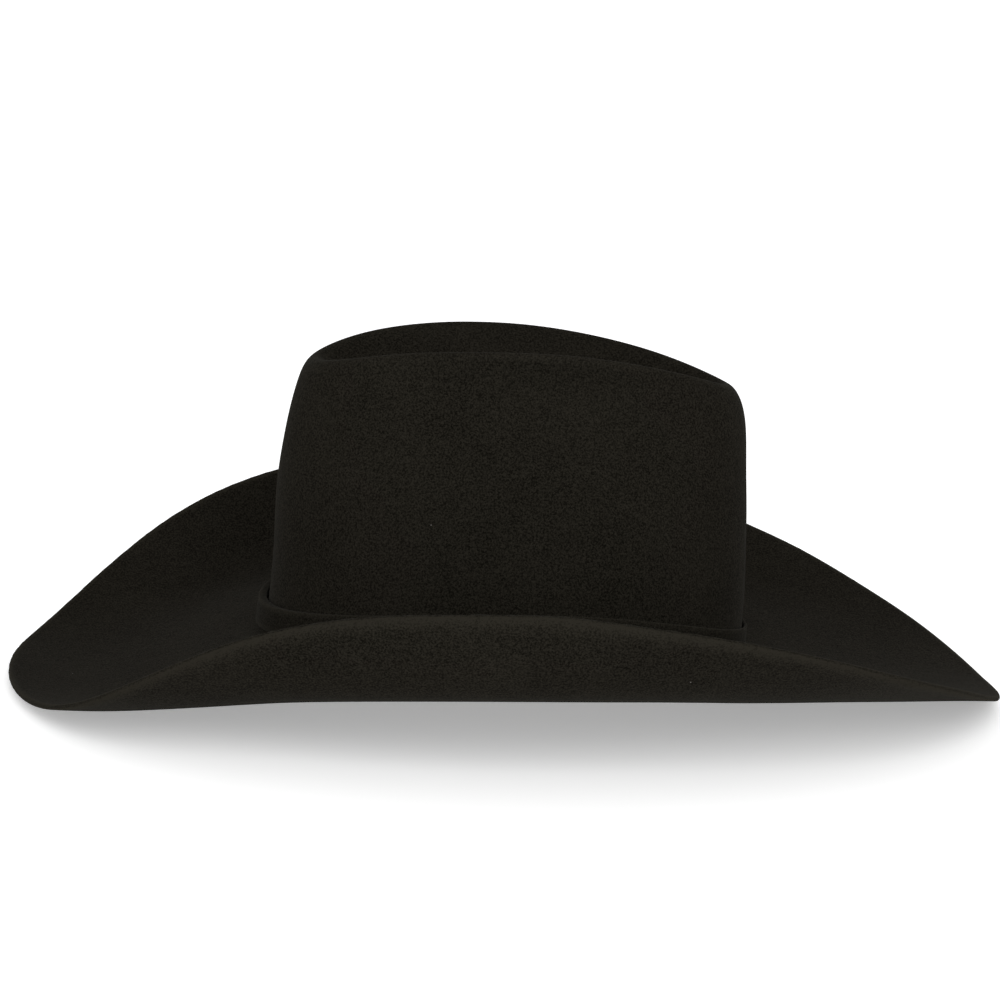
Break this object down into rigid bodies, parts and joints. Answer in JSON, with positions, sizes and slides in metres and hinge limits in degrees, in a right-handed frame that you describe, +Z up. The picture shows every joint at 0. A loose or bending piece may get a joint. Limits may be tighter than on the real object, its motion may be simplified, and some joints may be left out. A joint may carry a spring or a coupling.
{
  "type": "cowboy hat",
  "caption": "Western hat in black fur felt: creased crown with side dents, brim rolled up at the sides, self-felt band with buckle, leather sweatband and satin lining.",
  "frame": {"origin": "on the table under the middle of the hat, which rests on the front end of its brim and on the rear of it", "axes": "+X towards the front of the hat, +Y to the wearer's left, +Z up through the crown"},
  "size_m": [0.4254, 0.3526, 0.1497],
  "materials": {
    "felt": "black fur felt with a short brushed nap",
    "band_felt": "the same black felt, cut in a narrow strip",
    "thread": "black waxed sewing thread",
    "buckle_metal": "nickel-plated, softly polished",
    "sweat_leather": "dark brown roan leather, fine grain",
    "reed_plastic": "black plastic reed",
    "tape_cloth": "black grosgrain tape",
    "label_cloth": "off-white woven label, blank",
    "ribbon": "black satin ribbon",
    "satin": "charcoal satin lining",
    "piping_cord": "black corded piping",
    "clear_sheet": "clear flexible sheet"
  },
  "bodies": {
    "hat": {"felt_body": "felt", "hat_band": "band_felt", "band_strap_end": "band_felt", "band_stitches": "thread", "buckle_frame": "buckle_metal", "buckle_pin": "buckle_metal", "band_tip": "buckle_metal", "sweatband": "sweat_leather", "sweatband_reed": "reed_plastic", "reed_tape": "tape_cloth", "sweatband_stitches": "thread", "rear_seam_tape": "tape_cloth", "size_label": "label_cloth", "sweatband_bow": "ribbon", "bow_knot": "ribbon", "lining_side": "satin", "lining_tip": "satin", "lining_piping": "piping_cord", "lining_shield": "clear_sheet"},
    "prong": {"buckle_prong": "buckle_metal"},
    "keeper": {"band_keeper": "buckle_metal"}
  },
  "joints": [
    {"name": "prong_hinge", "type": "hinge", "parent": "hat", "child": "prong", "pos_m": [-0.00752, 0.08818, 0.04267], "axis": [0.006, -0.1246, 0.9922], "range_deg": [0, 110]},
    {"name": "keeper_slide", "type": "slide", "parent": "hat", "child": "keeper", "axis": [-0.9808, -0.187, -0.0555], "range_m": [-0.003, 0.003]}
  ]
}
